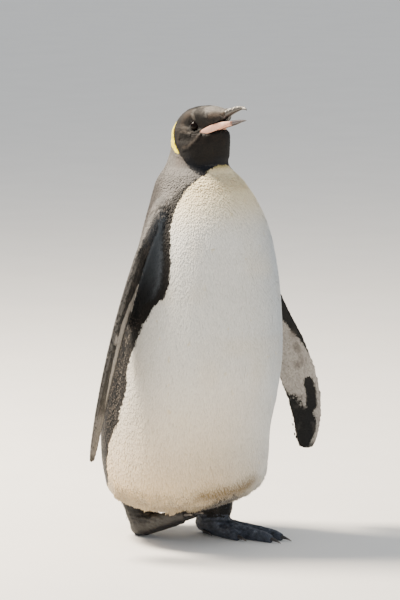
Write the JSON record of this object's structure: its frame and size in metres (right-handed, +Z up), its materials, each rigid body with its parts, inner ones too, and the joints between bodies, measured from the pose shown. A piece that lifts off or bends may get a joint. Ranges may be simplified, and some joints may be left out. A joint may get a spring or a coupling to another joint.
{
  "type": "king penguin",
  "caption": "Life-size king penguin in mid-stride, bill parted and raised, flippers held away from the body; a still display model.",
  "frame": {"origin": "middle of the bounding box's footprint, on the floor", "axes": "+Z up, the breast faces -Y, the bird's left side is +X"},
  "size_m": [0.4796, 0.3072, 0.729],
  "materials": {
    "head_feathers": "matt short feathers, brown black",
    "grey_feathers": "short sleek feathers, slate grey",
    "white_feathers": "short sleek feathers, cream white",
    "dark_feathers": "short stiff feathers, blue black",
    "foot_skin": "scaly matt skin",
    "claw": "worn dark horn",
    "bill_horn": "dark horn, satin",
    "plate_horn": "pale pink horn, satin",
    "eye": "wet, dark brown"
  },
  "bodies": {
    "root": {"head": "head_feathers", "neck": "grey_feathers", "breast_and_belly": "white_feathers", "back": "grey_feathers", "tail": "dark_feathers", "bill_upper": "bill_horn", "bill_lower": "bill_horn", "bill_plate_left": "plate_horn", "bill_plate_right": "plate_horn", "eye_left": "eye", "eye_right": "eye", "flipper_left": "dark_feathers", "flipper_right": "dark_feathers", "leg_left": "dark_feathers", "leg_right": "dark_feathers", "foot_left": "foot_skin", "foot_right": "foot_skin", "claw_left_inner": "claw", "claw_left_middle": "claw", "claw_left_outer": "claw", "claw_left_hind": "claw", "claw_right_inner": "claw", "claw_right_middle": "claw", "claw_right_outer": "claw", "claw_right_hind": "claw"}
  },
  "joints": []
}
